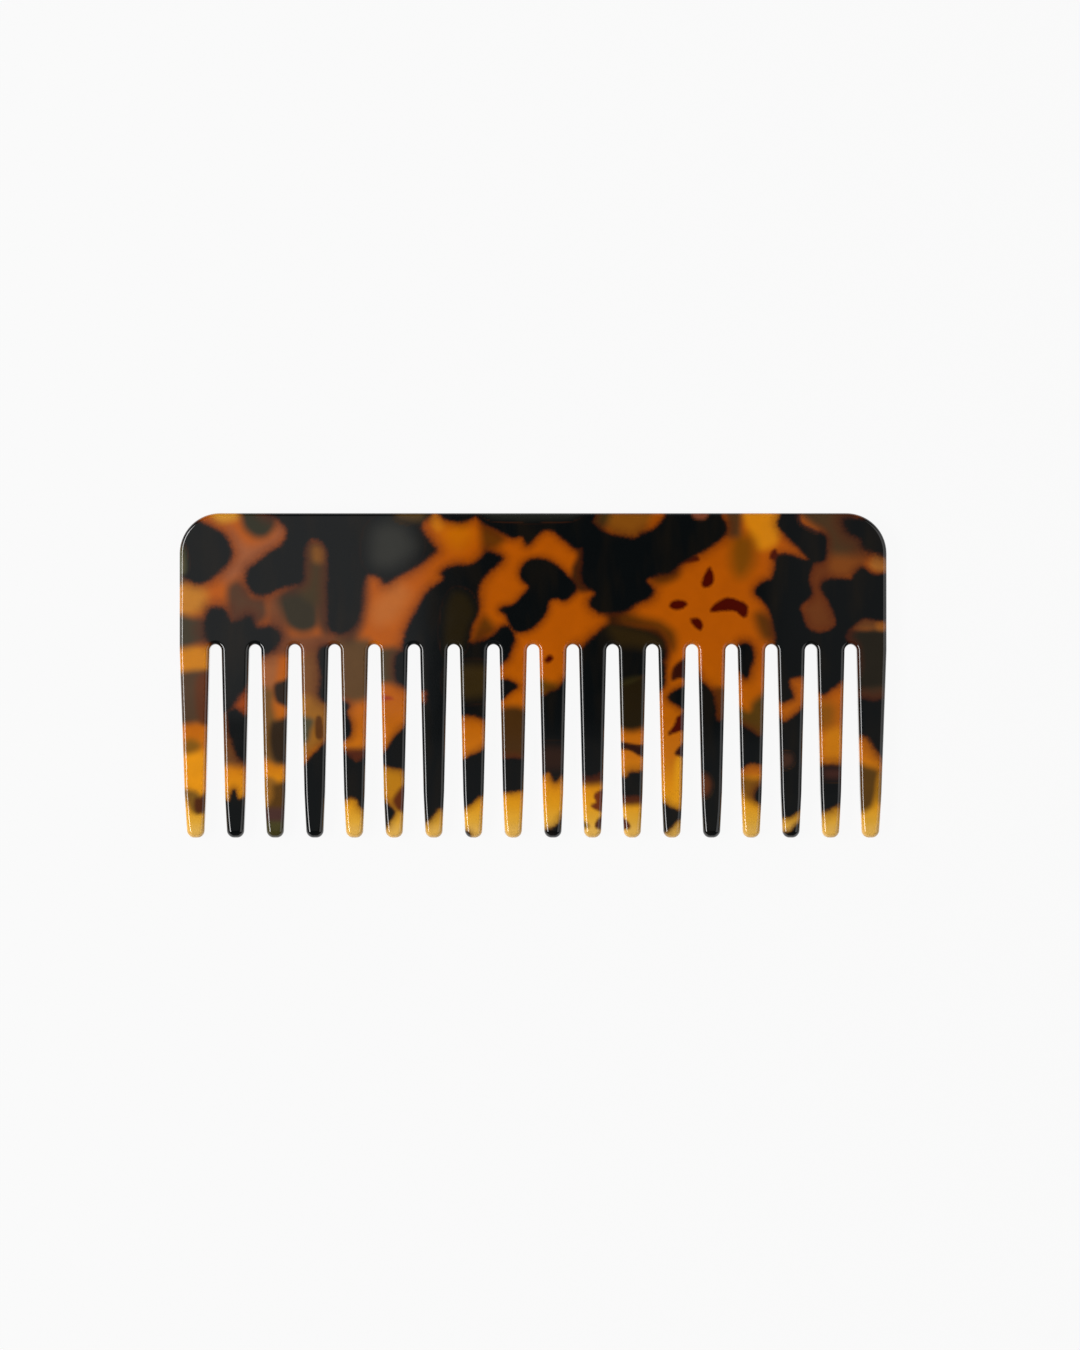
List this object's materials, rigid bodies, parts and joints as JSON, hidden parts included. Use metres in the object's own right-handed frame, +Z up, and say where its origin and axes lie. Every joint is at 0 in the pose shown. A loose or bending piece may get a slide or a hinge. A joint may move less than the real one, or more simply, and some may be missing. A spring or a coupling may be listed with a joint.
{
  "type": "hair comb",
  "caption": "Wide-tooth hair comb with a straight solid back, rounded corners and tapered teeth with rounded tips, cut from one marbled sheet.",
  "frame": {"origin": "middle of the underside of the comb as it lies flat", "axes": "+X along the comb, +Y from the tooth tips to the back edge, +Z up through the sheet"},
  "size_m": [0.14, 0.0644, 0.004],
  "materials": {
    "acetate_back": "polished tortoiseshell acetate, dark brown and amber",
    "acetate_teeth": "polished tortoiseshell acetate, amber with dark flakes"
  },
  "bodies": {
    "root": {"back": "acetate_back", "tooth_01": "acetate_teeth", "tooth_02": "acetate_teeth", "tooth_03": "acetate_teeth", "tooth_04": "acetate_teeth", "tooth_05": "acetate_teeth", "tooth_06": "acetate_teeth", "tooth_07": "acetate_teeth", "tooth_08": "acetate_teeth", "tooth_09": "acetate_teeth", "tooth_10": "acetate_teeth", "tooth_11": "acetate_teeth", "tooth_12": "acetate_teeth", "tooth_13": "acetate_teeth", "tooth_14": "acetate_teeth", "tooth_15": "acetate_teeth", "tooth_16": "acetate_teeth", "tooth_17": "acetate_teeth", "tooth_18": "acetate_teeth"}
  },
  "joints": []
}
